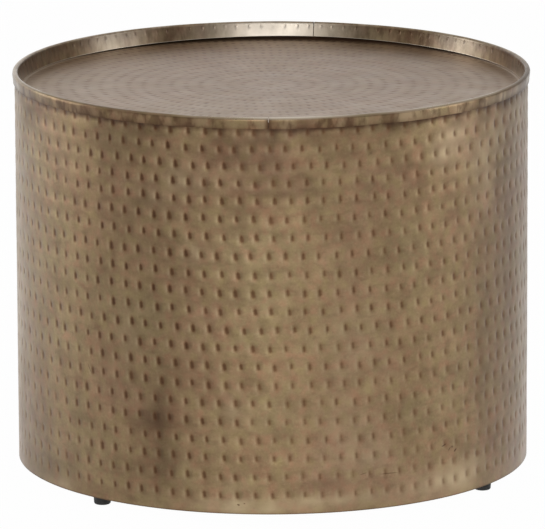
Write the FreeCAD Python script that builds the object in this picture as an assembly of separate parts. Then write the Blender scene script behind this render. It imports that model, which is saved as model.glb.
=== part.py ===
import FreeCAD, Part
import math
import os

# Drum side table: hammered drum, lift-off tray with a rolled rim, inner frame, bumper feet.
# Millimetres, +Z up, origin on the floor under the middle of the drum, front towards -Y.
# Azimuths are degrees from the front, positive towards +X.

# Overall
TABLE_HEIGHT = 414.0
SHELL_DIAMETER = 526.0
FOOT_CLEARANCE = 10.0

# Drum shell, a rolled sheet with a butt seam, and the strip behind the seam
SHELL_SHEET = 1.2
SHELL_SEAM_GAP = 0.5
SHELL_SEAM_AZIMUTH = 180.0
STRIP_WIDTH = 20.0
STRIP_THICKNESS = 1.0
STRIP_END_GAP = 0.5

# Tray floor, a disc with a turned-up flange
TRAY_DEPTH = 18.0
TRAY_SHEET = 1.0
FLOOR_FILLET = 5.0
FLANGE_HEIGHT = 11.0
TRAY_DROP_CLEARANCE = 0.6

# Rim bands, two folded strips end to end: inner wall, roll over the wire, lip outside the drum
RIM_SHEET = 0.8
RIM_ROLL_RADIUS = 2.9
LIP_DEPTH = 11.4
LIP_CLEARANCE = 0.4
EDGE_CLEARANCE = 0.9
SOLDER_GAP = 0.2
WIRE_CLEARANCE = 0.8
RIM_SEAM_GAP = 0.8
RIM_FRONT_SEAM_AZIMUTH = -8.3
RIM_BACK_SEAM_AZIMUTH = 162.3

# Inner frame: hoop, cross of square tubes, felt pads under the tray
HOOP_HEIGHT = 25.0
HOOP_THICKNESS = 3.0
TUBE_WIDTH = 20.0
TUBE_WALL = 1.5
PAD_DIAMETER = 18.0
PAD_THICKNESS = 2.0
PAD_PLACE_SHARES = (0.5, 0.92)
WELD_GAP = 0.1

# Base ring
RING_WIDTH = 28.0
RING_THICKNESS = 3.0
RING_RECESS = 2.0

# Bumper feet
FOOT_DIAMETER = 18.5
FOOT_TAPER = 0.75
FOOT_EDGE_RADIUS = 2.0
FOOT_AZIMUTH = 51.8

# Foot fasteners
SCREW_DIAMETER = 5.0
SCREW_TAIL = 1.5
SCREW_CLEARANCE = 0.25
THREAD_GAP = 0.05
HEAD_DIAMETER = 9.5
HEAD_HEIGHT = 3.7
HEAD_EDGE_RADIUS = 1.2
HEAD_RECESS = 0.8
DRIVE_WIDTH = 1.2
DRIVE_SPAN = 4.8
DRIVE_DEPTH = 1.8
WASHER_DIAMETER = 10.0
WASHER_THICKNESS = 1.0
COUNTERBORE_CLEARANCE = 0.3
NUT_FLATS = 8.0
NUT_HEIGHT = 4.0

# Overrun of every cut
CUT_OVERRUN = 1.0

# Radii from the drum inwards and outwards
shell_r = SHELL_DIAMETER / 2
shell_inner_r = shell_r - SHELL_SHEET
frame_r = shell_inner_r - WELD_GAP
flange_r = shell_inner_r - TRAY_DROP_CLEARANCE
flange_inner_r = flange_r - TRAY_SHEET
wall_back_r = flange_inner_r - SOLDER_GAP
wall_r = wall_back_r - RIM_SHEET
roll_r = wall_r + RIM_ROLL_RADIUS
roll_bore = RIM_ROLL_RADIUS - RIM_SHEET
wire_r = roll_bore - WIRE_CLEARANCE
lip_inner_r = shell_r + LIP_CLEARANCE
lip_r = lip_inner_r + RIM_SHEET

# Heights from the top down
roll_z = TABLE_HEIGHT - RIM_ROLL_RADIUS
lip_z = TABLE_HEIGHT - LIP_DEPTH
shell_top_z = roll_z - wire_r - EDGE_CLEARANCE
floor_z = TABLE_HEIGHT - TRAY_DEPTH
fillet_z = floor_z + FLOOR_FILLET
flange_z = floor_z + FLANGE_HEIGHT
tray_underside_z = floor_z - TRAY_SHEET
tube_top_z = tray_underside_z - PAD_THICKNESS
tube_z = tube_top_z - TUBE_WIDTH
hoop_z = tube_top_z - HOOP_HEIGHT

# Heights from the floor up
ring_z = FOOT_CLEARANCE + RING_RECESS
ring_top_z = ring_z + RING_THICKNESS
head_top_z = HEAD_RECESS + HEAD_HEIGHT
washer_top_z = head_top_z + WASHER_THICKNESS
nut_top_z = ring_top_z + NUT_HEIGHT

# Frame and foot places
hoop_inner_r = frame_r - HOOP_THICKNESS
tube_reach = math.sqrt(hoop_inner_r ** 2 - (TUBE_WIDTH / 2) ** 2) - WELD_GAP
ring_inner_r = frame_r - RING_WIDTH
foot_circle_r = (frame_r + ring_inner_r) / 2
screw_r = SCREW_DIAMETER / 2
screw_hole_r = screw_r + SCREW_CLEARANCE

FEET = {
    "foot_front_left": -FOOT_AZIMUTH,
    "foot_front_right": FOOT_AZIMUTH,
    "foot_back_left": FOOT_AZIMUTH - 180,
    "foot_back_right": 180 - FOOT_AZIMUTH,
}

ORIGIN = FreeCAD.Vector(0, 0, 0)
UP = FreeCAD.Vector(0, 0, 1)
ACROSS = FreeCAD.Vector(0, 1, 0)


def at(radius, height):
    """Point of a turned profile."""
    return FreeCAD.Vector(radius, 0, height)


def line(start, end):
    return Part.LineSegment(start, end).toShape()


def round_corner(centre, radius, start_angle, end_angle):
    """Arc of a turned profile about a centre, angles in degrees from outwards towards up."""
    angles = (start_angle, (start_angle + end_angle) / 2, end_angle)
    points = []
    for angle in angles:
        turn = math.radians(angle)
        points.append(centre + at(radius * math.cos(turn), radius * math.sin(turn)))
    return Part.Arc(*points).toShape()


def outline(*pieces):
    """Face bounded by points and arcs in order, with straight lines between them."""
    edges = []
    ends = [(p, p) if isinstance(p, FreeCAD.Vector) else arc_ends(p) for p in pieces]
    for index, piece in enumerate(pieces):
        if not isinstance(piece, FreeCAD.Vector):
            edges.append(piece)
        leave = ends[index][1]
        arrive = ends[(index + 1) % len(pieces)][0]
        if leave.distanceToPoint(arrive) > Part.Precision.confusion():
            edges.append(line(leave, arrive))
    return Part.Face(Part.Wire(edges))


def arc_ends(edge):
    return edge.valueAt(edge.FirstParameter), edge.valueAt(edge.LastParameter)


def turned(face):
    """Solid of revolution about the drum's axis."""
    return face.revolve(ORIGIN, UP, 360)


def turned_between(face, start_azimuth, end_azimuth, gap, radius):
    """Part of a solid of revolution between two azimuths, short of each by half a seam's gap."""
    open_angle = math.degrees(gap / radius)
    solid = face.revolve(ORIGIN, UP, end_azimuth - start_azimuth - open_angle)
    solid.rotate(ORIGIN, UP, start_azimuth - 90 + open_angle / 2)
    return solid


def turned_with_seam(face, azimuth, gap, radius):
    """Solid of revolution left open by a narrow seam at an azimuth."""
    return turned_between(face, azimuth, azimuth + 360, gap, radius)


def section(inner_r, outer_r, low_z, high_z):
    """Rectangular profile of a ring or tube wall."""
    return outline(at(inner_r, low_z), at(outer_r, low_z), at(outer_r, high_z), at(inner_r, high_z))


def make_drum_shell():
    wall = section(shell_inner_r, shell_r, FOOT_CLEARANCE, shell_top_z)
    return turned_with_seam(wall, SHELL_SEAM_AZIMUTH, SHELL_SEAM_GAP, shell_r)


def make_seam_strip():
    low_z = ring_top_z + STRIP_END_GAP
    high_z = hoop_z - STRIP_END_GAP
    wall = section(frame_r - STRIP_THICKNESS, frame_r, low_z, high_z)
    angle = math.degrees(STRIP_WIDTH / frame_r)
    strip = wall.revolve(ORIGIN, UP, angle)
    strip.rotate(ORIGIN, UP, SHELL_SEAM_AZIMUTH - 90 - angle / 2)
    return strip


def make_top_hoop():
    return turned(section(hoop_inner_r, frame_r, hoop_z, tube_top_z))


def make_base_ring():
    ring = turned(section(ring_inner_r, frame_r, ring_z, ring_top_z))
    drill = Part.makeCylinder(screw_hole_r, RING_THICKNESS + 2 * CUT_OVERRUN, at(0, ring_z - CUT_OVERRUN))
    return ring.cut(at_each_foot(drill))


def square_tube(start_x, end_x):
    """Square tube along X with its upper face under the pads."""
    bore = TUBE_WIDTH - 2 * TUBE_WALL
    corner = FreeCAD.Vector(start_x, -TUBE_WIDTH / 2, tube_z)
    bore_corner = FreeCAD.Vector(start_x - CUT_OVERRUN, -bore / 2, tube_z + TUBE_WALL)
    length = end_x - start_x
    tube = Part.makeBox(length, TUBE_WIDTH, TUBE_WIDTH, corner)
    return tube.cut(Part.makeBox(length + 2 * CUT_OVERRUN, bore, bore, bore_corner))


def make_half_tube(turn):
    tube = square_tube(TUBE_WIDTH / 2 + WELD_GAP, tube_reach)
    tube.rotate(ORIGIN, UP, turn)
    return tube


def make_tray_pads():
    pads = [Part.makeCylinder(PAD_DIAMETER / 2, PAD_THICKNESS, at(0, tube_top_z))]
    for share in PAD_PLACE_SHARES:
        for turn in (0, 90, 180, 270):
            pad = Part.makeCylinder(PAD_DIAMETER / 2, PAD_THICKNESS, at(tube_reach * share, tube_top_z))
            pad.rotate(ORIGIN, UP, turn)
            pads.append(pad)
    return Part.makeCompound(pads)


def make_tray_floor():
    fillet_centre = at(flange_inner_r - FLOOR_FILLET, fillet_z)
    return turned(outline(
        at(0, tray_underside_z),
        round_corner(fillet_centre, FLOOR_FILLET + TRAY_SHEET, -90, 0),
        at(flange_r, flange_z),
        at(flange_inner_r, flange_z),
        round_corner(fillet_centre, FLOOR_FILLET, 0, -90),
        at(0, floor_z),
    ))


def make_rim_band(start_azimuth, end_azimuth):
    roll_centre = at(roll_r, roll_z)
    fold = outline(
        at(wall_r, fillet_z),
        round_corner(roll_centre, RIM_ROLL_RADIUS, 180, 0),
        at(lip_r, lip_z),
        at(lip_inner_r, lip_z),
        round_corner(roll_centre, roll_bore, 0, 180),
        at(wall_back_r, fillet_z),
    )
    return turned_between(fold, start_azimuth, end_azimuth, RIM_SEAM_GAP, wall_r)


def make_rim_wire(start_azimuth, end_azimuth):
    ring = Part.Circle(at(roll_r, roll_z), ACROSS, wire_r).toShape()
    return turned_between(Part.Face(Part.Wire(ring)), start_azimuth, end_azimuth, RIM_SEAM_GAP, wall_r)


def to_foot(shape, azimuth):
    """Copy of a shape moved from the drum's axis to a foot's axis."""
    turn = math.radians(azimuth)
    moved = shape.copy()
    moved.translate(FreeCAD.Vector(foot_circle_r * math.sin(turn), -foot_circle_r * math.cos(turn), 0))
    return moved


def at_each_foot(shape):
    return Part.makeCompound([to_foot(shape, azimuth) for azimuth in FEET.values()])


def make_foot():
    top_r = FOOT_DIAMETER / 2
    base_r = top_r - FOOT_TAPER
    counterbore_r = WASHER_DIAMETER / 2 + COUNTERBORE_CLEARANCE
    return turned(outline(
        at(screw_hole_r, ring_z),
        at(screw_hole_r, washer_top_z),
        at(counterbore_r, washer_top_z),
        at(counterbore_r, 0),
        round_corner(at(base_r - FOOT_EDGE_RADIUS, FOOT_EDGE_RADIUS), FOOT_EDGE_RADIUS, -90, 0),
        at(top_r, ring_z),
    ))


def make_foot_screw():
    head_r = HEAD_DIAMETER / 2
    tip_z = nut_top_z + SCREW_TAIL
    screw = turned(outline(
        at(0, HEAD_RECESS),
        round_corner(at(head_r - HEAD_EDGE_RADIUS, HEAD_RECESS + HEAD_EDGE_RADIUS), HEAD_EDGE_RADIUS, -90, 0),
        at(head_r, head_top_z),
        at(screw_r, head_top_z),
        at(screw_r, tip_z),
        at(0, tip_z),
    ))
    corner = FreeCAD.Vector(-DRIVE_SPAN / 2, -DRIVE_WIDTH / 2, HEAD_RECESS - CUT_OVERRUN)
    slot = Part.makeBox(DRIVE_SPAN, DRIVE_WIDTH, DRIVE_DEPTH + CUT_OVERRUN, corner)
    cross_slot = slot.copy()
    cross_slot.rotate(ORIGIN, UP, 90)
    return screw.cut(slot.fuse(cross_slot))


def make_foot_washer():
    return turned(section(screw_hole_r, WASHER_DIAMETER / 2, head_top_z, washer_top_z))


def make_foot_nut():
    corner_r = NUT_FLATS / 2 / math.cos(math.pi / 6)
    corners = []
    for side in range(7):
        turn = side * math.pi / 3
        corners.append(FreeCAD.Vector(corner_r * math.cos(turn), corner_r * math.sin(turn), ring_top_z))
    nut = Part.Face(Part.makePolygon(corners)).extrude(UP * NUT_HEIGHT)
    bore_length = NUT_HEIGHT + 2 * CUT_OVERRUN
    return nut.cut(Part.makeCylinder(screw_r + THREAD_GAP, bore_length, at(0, ring_top_z - CUT_OVERRUN)))


# The rim's right and left halves, from seam to seam
right_half = (RIM_FRONT_SEAM_AZIMUTH, RIM_BACK_SEAM_AZIMUTH)
left_half = (RIM_BACK_SEAM_AZIMUTH, RIM_FRONT_SEAM_AZIMUTH + 360)

pieces = {
    "drum_shell": make_drum_shell(),
    "seam_strip": make_seam_strip(),
    "top_hoop": make_top_hoop(),
    "cross_tube": square_tube(-tube_reach, tube_reach),
    "half_tube_front": make_half_tube(-90),
    "half_tube_back": make_half_tube(90),
    "tray_pads": make_tray_pads(),
    "base_ring": make_base_ring(),
    "foot_washers": at_each_foot(make_foot_washer()),
    "foot_screws": at_each_foot(make_foot_screw()),
    "foot_nuts": at_each_foot(make_foot_nut()),
    "tray_floor": make_tray_floor(),
    "rim_band_right": make_rim_band(*right_half),
    "rim_band_left": make_rim_band(*left_half),
    "rim_wire": Part.makeCompound([make_rim_wire(*right_half), make_rim_wire(*left_half)]),
}
foot = make_foot()
for name, azimuth in FEET.items():
    pieces[name] = to_foot(foot, azimuth)

os.makedirs("parts", exist_ok=True)
for name, shape in pieces.items():
    shape.exportStep("parts/" + name + ".step")
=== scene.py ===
"""Looks of a drum side table: a hammered antique brass drum under a lift-off tray with a folded rim.

Lengths are in metres, azimuths in degrees from the front (-Y) towards +X.
"""
import math

import bpy
import numpy as np
from mathutils import Matrix, Vector, noise


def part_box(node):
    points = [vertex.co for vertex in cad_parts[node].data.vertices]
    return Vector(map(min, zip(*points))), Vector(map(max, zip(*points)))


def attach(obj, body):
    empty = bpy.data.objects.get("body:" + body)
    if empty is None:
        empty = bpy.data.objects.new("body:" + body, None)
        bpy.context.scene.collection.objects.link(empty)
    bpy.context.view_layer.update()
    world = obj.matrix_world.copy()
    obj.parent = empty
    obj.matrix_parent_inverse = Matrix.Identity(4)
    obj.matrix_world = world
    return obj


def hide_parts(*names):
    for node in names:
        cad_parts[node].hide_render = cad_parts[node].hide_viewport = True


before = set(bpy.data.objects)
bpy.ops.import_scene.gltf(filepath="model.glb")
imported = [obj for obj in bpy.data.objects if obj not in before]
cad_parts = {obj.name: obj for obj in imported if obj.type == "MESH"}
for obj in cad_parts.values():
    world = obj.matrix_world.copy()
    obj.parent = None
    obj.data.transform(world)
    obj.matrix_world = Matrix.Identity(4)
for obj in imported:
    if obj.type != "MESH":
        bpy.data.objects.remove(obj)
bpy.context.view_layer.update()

MM = 0.001
SHARP_ANGLE = 62
dice = np.random.RandomState(41)


def srgb(red, green, blue):
    """Linear colour of a tone given as 0 to 255."""
    shares = np.array((red, green, blue)) / 255
    linear = np.where(shares <= 0.04045, shares / 12.92, ((shares + 0.055) / 1.055) ** 2.4)
    return (*linear.tolist(), 1.0)


# Camera
IMAGE_WIDTH = 545
FOCAL_PIXELS = 6574
SENSOR = 36.0
CAMERA_AZIMUTH = -7.65
CAMERA_ELEVATION = 12.52
CAMERA_ROLL = -0.246
CAMERA_DISTANCE = 6.776
CAMERA_TARGET = Vector((0, 0, 0.2121))
CAMERA_MOVE_RIGHT = 0.464 * MM
CAMERA_MOVE_UP = -4.71 * MM
CAMERA_REACH = 100.0

# Studio
FLOOR_HALF = 14.0
FLOOR_ALBEDO = (0.9, 0.9, 0.9, 1)
FLOOR_WHITE_SHARE = 0.985
WORLD_FILL = 0.6
CEILING_GREY = 0.65
FRONT_GREY = 0.3
BACKDROP_AZIMUTH = -158
# The world's tone changes between these cosines to the backdrop and these rises above level
BACKDROP_EDGE = (0.3, 0.9)
HORIZON_EDGE = (0.0, 0.06)
CEILING_EDGE = (0.2, 0.4)
# Softboxes: name, azimuth, distance, foot, width, height, watts
SOFTBOXES = (
    ("left_softbox", -111, 2.8, 0.03, 1.9, 1.8, 18),
    ("front_softbox", -8, 3.0, 0.03, 2.0, 1.4, 15),
    ("right_softbox", 74, 2.8, 0.03, 1.4, 1.6, 9),
)

# Hammer marks on the shell
DENTS_PER_ROW = 97
FIRST_ROW_ABOVE_EDGE = 19 * MM
LOWER_ROWS = 17
ROW_PITCH = 18.87 * MM
UPPER_ROWS = 4
UPPER_ROW_PITCH = 17.3 * MM
ROW_START = (0.25, 0.75)
ROW_WANDER = 2.6 * MM
ROW_WANDER_LENGTH = 160 * MM
WANDER_HEIGHT_SHARE = 0.3
DENT_HALF_WIDTH = 2.5 * MM
DENT_HALF_HEIGHT = 5.5 * MM
DENT_DEPTH = 0.5 * MM
DENT_SLIP = 1.3 * MM
DENT_RISE = 0.9 * MM
# Random factors here and below: spread, least, most
DENT_SIZES = (0.08, 0.8, 1.22)
DENT_DEPTHS = (0.16, 0.55, 1.35)
DENT_TAPER = (0.08, 0.32)
DENT_LEAN = 0.3
DISH_DEPTH = 0.2 * MM
GROOVE_DEPTH = 0.22 * MM
GROOVE_FADE = (220 * MM, 330 * MM)
GROOVE_SHARES = (0.3, 1)

# Places and reaches across and along a dent, in its half widths and half heights
DENT_COLUMNS = np.array((-2.7, -1.45, -0.8, -0.1, 0.55, 1.15, 2.7))
DENT_LINES = np.array((-1.3, -0.9, -0.36, 0.3, 0.85, 1.3))
PIT_HALF_WIDTH = 1.25
DISH_PLACE = (0, 0)
DISH_REACH = (1.7, 1.25)
INK_PLACE = -0.1
INK_HALF_WIDTH = 0.95
# Painted highlight at a dent's left and painted shade at its right: place and reach
HIGHLIGHT_PLACE = (-1.5, -0.2)
HIGHLIGHT_REACH = (0.8, 0.8)
SHADE_PLACE = (1.0, 0)
SHADE_REACH = (0.9, 0.8)

# Patina in and round the dents, with painted shade added in them left of the front, a painted highlight
# and painted shade beside them, and painted shade under the lip
DENT_TONE = 0.58
DENT_SHADE_RISE = 0.4
DENT_TONE_BACK = 0.21
DENT_SHADE_AZIMUTH = -35
DENT_SHADE_SPREAD = 25
DENT_TONE_FADE = (50 * MM, 200 * MM)
DENT_TONE_SHARES = (0.8, 1.04)
DENT_TONE_LIMITS = (0.75, 1.25)
INK_POWER = 0.8
INK_FILL = 1.2
HIGHLIGHT_SHARE = 0.5
SHADE_SHARE = 0.36
RIDGE_TARNISH = 0.25
UNDER_LIP_SHADE = 0.4
UNDER_LIP_REACH = 9 * MM
INSIDE_TARNISH = 0.35
CLOUD_LENGTH = 30 * MM
STAIN_BREAK = 0.8
STAIN_BREAK_LENGTH = 16 * MM

# Sheet and seam of the shell
SHELL_WAVE = 0.22 * MM
SHELL_WAVE_LENGTH = 42 * MM
SHELL_WAVE_MOST = 0.1 * MM
SHELL_EDGE_STEPS = (0, 0.6 * MM, 5 * MM)
SHELL_TOP_MARGIN = 1.2 * MM
PLAIN_COLUMNS = (0.25, 0.75)
INSIDE_BULGE = 0.5 * MM
INSIDE_BULGE_BY_TRAY = 0.25 * MM
INSIDE_BULGE_MOST = 1.2
SEAM_GAP = 0.5 * MM
SEAM_STEP = 0.3 * MM
INSIDE_SEAM_ANGLE = 0.002

# Tray floor
TRAY_SHEET = 1.0 * MM
FLOOR_FILLET = 5 * MM
FLOOR_SWAY = 0.12 * MM
FLOOR_SWAY_LENGTH = 90 * MM
DIMPLE_RINGS = 17
DIMPLE_RING_PITCH = 14.6 * MM
DIMPLE_PITCH = 9 * MM
DIMPLE_START = (0.3, 0.7)
DIMPLE_SLIP = 0.6 * MM
DIMPLE_SHIFT = 0.5 * MM
DIMPLE_HALF_WIDTH = 2.8 * MM
DIMPLE_HALF_LENGTH = 5.2 * MM
DIMPLE_DEPTH = 0.26 * MM
DIMPLE_DEPTHS = (0.25, 0.4, 1.6)
DIMPLE_POWER = 1.5
DIMPLE_COLUMNS = np.array((-1, -0.5, 0, 0.5, 1)) * DIMPLE_HALF_WIDTH
DIMPLE_ROWS = np.array((-1, -0.65, -0.33, 0, 0.33, 0.65, 1)) * DIMPLE_HALF_LENGTH
DIMPLE_TONE = 0.5
DIMPLE_TONE_BACK = 0.8
CENTRE_POINTS = 10
# Rings of the dimple in the middle: radius, share of its depth
CENTRE_RINGS = ((1.6 * MM, 0.8), (3.2 * MM, 0.1), (5.5 * MM, 0.0))
PLAIN_RING_POINTS = 240
FILLET_ANGLES = np.linspace(0, 90, 7)
UNDERSIDE_ANGLES = np.linspace(90, 0, 6)
UNDERSIDE_SHARES = np.linspace(0.9, 0.1, 9)

# Wear and painted light of the tray floor, lighter to the front, the left and the edge; painted shade in
# the corner at the back: middle, spread
FLOOR_RUBBED = 0.14
FLOOR_LIGHT_FRONT = 0.42
FLOOR_LIGHT_LEFT = 0.3
FLOOR_LIGHT_EDGE = 0.6
FLOOR_EDGE_WIDTH = 40 * MM
CORNER_SHADE = 0.85
CORNER_SHEEN = 0.8
CORNER_SHADE_STRETCH = (158, 32)
# Stretches of painted highlight along the corner: middle, spread, share
CORNER_HIGHLIGHT_STRETCHES = ((103, 22, 1.0), (-119, 22, 0.7))
CORNER_HIGHLIGHT_INSET = 1.3 * MM
CORNER_HIGHLIGHT_ANGLE = 40
FILLET_TARNISH = 0.1
FLANGE_TARNISH = 0.8
UNDERSIDE_TARNISH = 0.3
HUB_TARNISH = 0.2

# Rim strips
RIM_SHEET = 0.8 * MM
RIM_SEAM_GAP = 0.8 * MM
RIM_FRONT_SEAM = -8.3
RIM_BACK_SEAM = 162.3
RIM_DING = 0.1 * MM
RIM_DING_LENGTH = 16 * MM
ROLL_ANGLES = np.linspace(180, 0, 13)
LIP_DEPTH = 11.4 * MM
LIP_CLEARANCE = 0.4 * MM
LIP_SHARES = (0.14, 0.3, 0.5, 0.7, 0.86, 0.96, 1)
LIP_WIDTH = 1.2 * MM
LIP_BELOW_TOP = 2 * MM
LIP_EDGE_WAVE = 0.45 * MM
LIP_EDGE_LENGTH = 34 * MM
LIP_RIPPLE_SHARE = 0.6
LIP_RIPPLE_LENGTH = 11 * MM
LIP_SWELL = 0.16 * MM
LIP_SWELL_LENGTH = 13 * MM
LIP_SWELL_LIMITS = (-0.2 * MM, 0.3 * MM)
DASH_PITCH = 12.7 * MM
DASH_START = 0.4
DASH_SLIP = 1.1 * MM
DASH_COLUMNS = np.array((-2.3, -1.25, -0.5, 0.5, 1.25, 2.3, 4.3)) * MM
DASH_HALF_WIDTH = 1.3 * MM
DASH_HALF_HEIGHT = 2.6 * MM
DASH_BELOW_TOP = 5.2 * MM
DASH_DEPTH = 0.35 * MM
DASH_STRENGTHS = (0.3, 0.5, 1.5)
DASH_TONE = 0.7
WALL_SHARES = (0, 0.05, 0.25, 0.45, 0.6, 0.69, 0.77, 0.85, 0.93)
WALL_WIDTH = 0.5 * MM
WALL_LEAN = 2.7 * MM
WALL_DING = 0.16 * MM
WALL_DING_SHARE = 0.6
WALL_FOOT_ABOVE_FLOOR = 0.65 * MM
WALL_FOOT_LIFT = 2.7 * MM
WALL_LIFTED = (164, 36)
WALL_BRASS_SHARE = 0.7

# Painted highlights and painted shade of the rim strips; stretches: middle, spread
ROLL_HIGHLIGHT_STRETCH = (-3, 15)
LIP_HIGHLIGHT_STRETCH = (33, 14)
LIP_SHADE_STRETCH = (74, 16)
# Painted shade along the roll, painted highlights and painted shade along the wall: middle, spread, share
ROLL_SHADE_STRETCHES = ((74, 16, 1.0), (-45, 14, 0.5), (13, 8, 0.3))
WALL_HIGHLIGHT_STRETCHES = ((170.8, 13.5, 1.12), (122, 8, 0.36), (-148, 9, 0.42))
WALL_SHADE_STRETCHES = ((103, 10, 0.2), (-126, 7, 0.2), (136, 5, 0.3))
# Painted highlight along the foot of the wall, and the share of its height it covers
WALL_FOOT_HIGHLIGHT = 0.7
WALL_FOOT_SHARE = 0.03
SMEAR_LENGTH = 38 * MM
RIM_SEAM_TARNISH = 0.7
RIM_SEAM_REACH = 2.2 * MM
RIM_BACK_TARNISH = 0.5


def points_of(node):
    """Corner points of a CAD node, one row each."""
    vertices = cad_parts[node].data.vertices
    flat = np.empty(3 * len(vertices))
    vertices.foreach_get("co", flat)
    return flat.reshape(-1, 3)


def radii_of(node):
    """Smallest and largest distance of a CAD node from the drum's axis."""
    points = points_of(node)
    away = np.hypot(points[:, 0], points[:, 1])
    return away.min(), away.max()


SHELL_INNER, SHELL_OUTER = radii_of("drum_shell")
SHELL_BOTTOM, SHELL_TOP = (corner[2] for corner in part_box("drum_shell"))
FLANGE_OUTER = radii_of("tray_floor")[1]
TRAY_UNDERSIDE, FLANGE_TOP = (corner[2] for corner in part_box("tray_floor"))
WALL_FACE, RIM_OUTER = radii_of("rim_band_right")
RIM_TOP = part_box("rim_band_right")[1][2]
TRAY_TOP = TRAY_UNDERSIDE + TRAY_SHEET
WALL_FOOT = TRAY_TOP + WALL_FOOT_ABOVE_FLOOR
ROLL_RADIUS = (RIM_OUTER - WALL_FACE) / 2
ROLL_LEVEL = RIM_TOP - ROLL_RADIUS
SEAM_SIDE = math.pi - SEAM_GAP / 2 / SHELL_OUTER


def wave(points, length, seed):
    """Smooth noise between -1 and 1 at each point, with features of about that length."""
    shift = Vector((seed * 7.3, seed * 3.1, seed * 5.7))
    return np.array([noise.noise(Vector(point) / length + shift) for point in points])


def on_circle(azimuth, radius, height):
    """Points at these azimuths in radians, radii and heights."""
    azimuth, radius, height = np.broadcast_arrays(azimuth, radius, height)
    return np.stack((radius * np.sin(azimuth), -radius * np.cos(azimuth), height), axis=-1)


def zipper(first, first_at, second, second_at):
    """Triangles between two lines of points, each with its places along the line."""
    faces = []
    i = j = 0
    while i < len(first) - 1 or j < len(second) - 1:
        second_done = j == len(second) - 1
        first_left = i < len(first) - 1
        if second_done or (first_left and first_at[i + 1] <= second_at[j + 1]):
            faces.append((first[i], first[i + 1], second[j]))
            i += 1
        else:
            faces.append((first[i], second[j + 1], second[j]))
            j += 1
    return faces


def add_object(name, data):
    """A new object in the scene."""
    thing = bpy.data.objects.new(name, data)
    bpy.context.scene.collection.objects.link(thing)
    return thing


class Surface:
    """Rings of points about the drum's axis, and the faces between them."""

    def __init__(self):
        self.points = []
        self.faces = []
        self.marks = {}

    def ring(self, azimuth, radius, height, **marks):
        """Adds one ring or open line of points. Returns (their numbers, their azimuths)."""
        azimuth = np.asarray(azimuth, dtype=float)
        start = len(self.points)
        self.points.extend(on_circle(azimuth, radius, height).tolist())
        for name, values in marks.items():
            column = self.marks.setdefault(name, {})
            column.update(zip(range(start, start + len(azimuth)), np.broadcast_to(values, azimuth.shape)))
        return np.arange(start, start + len(azimuth)), azimuth

    def join(self, lower, upper, closed):
        """Faces between two rings: quads where their points pair up, else triangles."""
        lower_numbers, lower_at = lower
        upper_numbers, upper_at = upper
        if closed:
            lower_numbers = np.append(lower_numbers, lower_numbers[0])
            upper_numbers = np.append(upper_numbers, upper_numbers[0])
            lower_at = np.append(lower_at, lower_at[0] + 2 * math.pi)
            upper_at = np.append(upper_at, upper_at[0] + 2 * math.pi)
        if len(lower_at) == len(upper_at) and np.allclose(lower_at, upper_at):
            corners = (lower_numbers[:-1], lower_numbers[1:], upper_numbers[1:], upper_numbers[:-1])
            self.faces.extend(np.stack(corners, axis=-1).tolist())
        else:
            self.faces.extend(zipper(lower_numbers.tolist(), lower_at, upper_numbers.tolist(), upper_at))

    def piece(self, name, body, nodes, slot, *materials, second=()):
        """Makes the finished object, which rides on its body in place of its CAD nodes.

        The faces numbered in second get the second material, the others the first.
        """
        mesh = bpy.data.meshes.new(name)
        mesh.from_pydata(self.points, [], self.faces)
        mesh.polygons.foreach_set("use_smooth", np.ones(len(mesh.polygons), dtype=bool))
        mesh.set_sharp_from_angle(angle=math.radians(SHARP_ANGLE))
        for mark, values in self.marks.items():
            column = np.zeros(len(self.points))
            column[list(values.keys())] = list(values.values())
            mesh.attributes.new(mark, "FLOAT", "POINT").data.foreach_set("value", column)
        for material in materials:
            mesh.materials.append(material)
        for face in second:
            mesh.polygons[face].material_index = 1
        thing = add_object(name, mesh)
        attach(thing, body)
        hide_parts(*nodes)


# The Mix node's colour sockets share their names with others, so they go by number.
MIX_FIRST, MIX_SECOND, MIX_RESULT = 6, 7, 2


class Tree:
    """Adds nodes to the node tree of a material or a world."""

    def __init__(self, owner):
        owner.use_nodes = True
        self.nodes = owner.node_tree.nodes
        self.links = owner.node_tree.links

    def feed(self, socket, value):
        """Links an output to an input, or sets the input to a plain value."""
        if isinstance(value, bpy.types.NodeSocket):
            self.links.new(value, socket)
        else:
            socket.default_value = value

    def set(self, node, **values):
        """Feeds a node's inputs and returns it; an underscore stands for a space in their names."""
        for name, value in values.items():
            self.feed(node.inputs[name.replace("_", " ")], value)
        return node

    def add(self, kind, **values):
        """A new node with these inputs."""
        return self.set(self.nodes.new("ShaderNode" + kind), **values)

    def combine(self, operation, first, second):
        """Sum, maximum or the like of two values."""
        node = self.add("Math")
        node.operation = operation
        self.links.new(first, node.inputs[0])
        self.links.new(second, node.inputs[1])
        return node.outputs["Value"]

    def range(self, value, from_low, from_high, to_low, to_high):
        """Maps one span of values onto another, without going past its ends."""
        node = self.add("MapRange", Value=value, From_Min=from_low, From_Max=from_high)
        return self.set(node, To_Min=to_low, To_Max=to_high).outputs["Result"]

    def seen_rays(self):
        """1 for rays that show a surface to the camera, straight or by reflection, else 0."""
        path = self.add("LightPath")
        largest = path.outputs["Is Camera Ray"]
        for name in ("Is Glossy Ray", "Is Transmission Ray"):
            largest = self.combine("MAXIMUM", largest, path.outputs[name])
        return largest


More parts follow.
